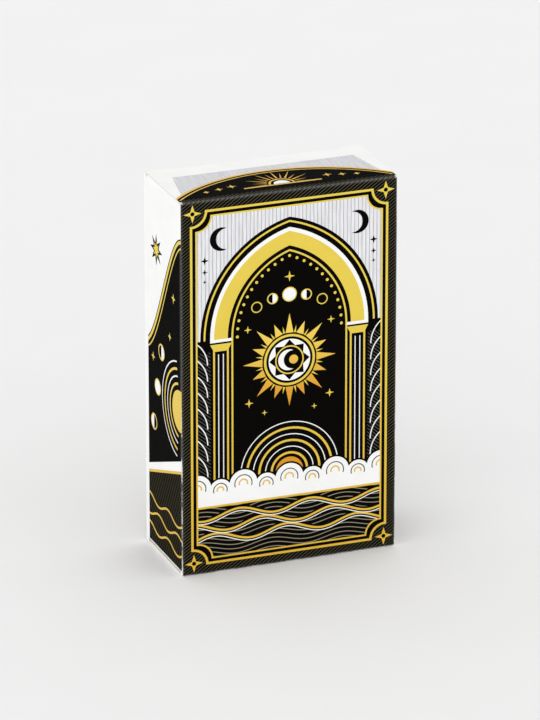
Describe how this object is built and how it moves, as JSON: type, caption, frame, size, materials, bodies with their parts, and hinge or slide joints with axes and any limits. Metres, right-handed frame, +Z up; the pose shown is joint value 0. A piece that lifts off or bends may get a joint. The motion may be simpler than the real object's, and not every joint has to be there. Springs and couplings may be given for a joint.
{
  "type": "tarot card deck",
  "caption": "Tarot deck in an upright printed tuck-top carton: a hinged lid with tuck flap and dust flaps, loose cards in packs and a stitched booklet.",
  "frame": {"origin": "middle of the carton's base, on the surface it stands on", "axes": "+Z up along the cards' height, +X to the right seen from the front, the front faces -Y"},
  "size_m": [0.0728, 0.0332, 0.1258],
  "materials": {
    "printed_board": "black print with gold, satin laminate",
    "lid_board": "white print with black and gold, satin laminate",
    "bare_board": "uncoated folding board",
    "card_stock": "satin card",
    "booklet_cover": "satin paper",
    "booklet_paper": "matt paper",
    "staple_wire": "drawn wire"
  },
  "bodies": {
    "carton": {"front_panel": "printed_board", "back_panel": "printed_board", "left_panel": "printed_board", "right_panel": "printed_board", "glue_flap": "bare_board", "bottom_outer_flap": "printed_board", "bottom_inner_flap": "bare_board", "bottom_left_dust_flap": "bare_board", "bottom_right_dust_flap": "bare_board"},
    "lid": {"lid_panel": "lid_board"},
    "tuck_flap": {"tuck_flap": "printed_board"},
    "left_dust_flap": {"left_dust_flap": "bare_board"},
    "right_dust_flap": {"right_dust_flap": "bare_board"},
    "booklet": {"booklet_cover": "booklet_cover", "booklet_sheets": "booklet_paper", "booklet_staples": "staple_wire"},
    "trumps": {"trump_00_fool": "card_stock", "trump_01_magician": "card_stock", "trump_02_high_priestess": "card_stock", "trump_03_empress": "card_stock", "trump_04_emperor": "card_stock", "trump_05_hierophant": "card_stock", "trump_06_lovers": "card_stock", "trump_07_chariot": "card_stock", "trump_08_strength": "card_stock", "trump_09_hermit": "card_stock", "trump_10_wheel": "card_stock", "trump_11_justice": "card_stock", "trump_12_hanged_man": "card_stock", "trump_13_death": "card_stock", "trump_14_temperance": "card_stock", "trump_15_devil": "card_stock", "trump_16_tower": "card_stock", "trump_17_star": "card_stock", "trump_18_moon": "card_stock", "trump_19_sun": "card_stock", "trump_20_judgement": "card_stock", "trump_21_world": "card_stock"},
    "wands": {"wands_pips": "card_stock", "wands_page": "card_stock", "wands_knight": "card_stock", "wands_queen": "card_stock", "wands_king": "card_stock"},
    "cups": {"cups_pips": "card_stock", "cups_page": "card_stock", "cups_knight": "card_stock", "cups_queen": "card_stock", "cups_king": "card_stock"},
    "swords": {"swords_pips": "card_stock", "swords_page": "card_stock", "swords_knight": "card_stock", "swords_queen": "card_stock", "swords_king": "card_stock"},
    "coins": {"coins_pips": "card_stock", "coins_page": "card_stock", "coins_knight": "card_stock", "coins_queen": "card_stock", "coins_king": "card_stock"}
  },
  "joints": [
    {"name": "lid_hinge", "type": "hinge", "parent": "carton", "child": "lid", "pos_m": [0, -0.01629, 0.12554], "axis": [1, 0, 0], "range_deg": [0, 175]},
    {"name": "tuck_fold", "type": "hinge", "parent": "lid", "child": "tuck_flap", "pos_m": [0, 0.01522, 0.12522], "axis": [1, 0, 0], "range_deg": [-50, 0]},
    {"name": "left_dust_fold", "type": "hinge", "parent": "carton", "child": "left_dust_flap", "pos_m": [-0.03614, 0, 0.12504], "axis": [0, -1, 0], "range_deg": [0, 100]},
    {"name": "right_dust_fold", "type": "hinge", "parent": "carton", "child": "right_dust_flap", "pos_m": [0.03614, 0, 0.12504], "axis": [0, 1, 0], "range_deg": [0, 100]},
    {"name": "booklet_lift", "type": "slide", "parent": "carton", "child": "booklet", "axis": [0, 0, 1], "range_m": [0, 0.003]},
    {"name": "trumps_lift", "type": "slide", "parent": "carton", "child": "trumps", "axis": [0, 0, 1], "range_m": [0, 0.003]},
    {"name": "wands_lift", "type": "slide", "parent": "carton", "child": "wands", "axis": [0, 0, 1], "range_m": [0, 0.003]},
    {"name": "cups_lift", "type": "slide", "parent": "carton", "child": "cups", "axis": [0, 0, 1], "range_m": [0, 0.003]},
    {"name": "swords_lift", "type": "slide", "parent": "carton", "child": "swords", "axis": [0, 0, 1], "range_m": [0, 0.003]},
    {"name": "coins_lift", "type": "slide", "parent": "carton", "child": "coins", "axis": [0, 0, 1], "range_m": [0, 0.003]}
  ],
  "couplings": [
    {"joint": "tuck_fold", "follows": "lid_hinge", "ratio": -0.25},
    {"joint": "left_dust_fold", "follows": "lid_hinge", "ratio": 0.5},
    {"joint": "right_dust_fold", "follows": "lid_hinge", "ratio": 0.5}
  ]
}
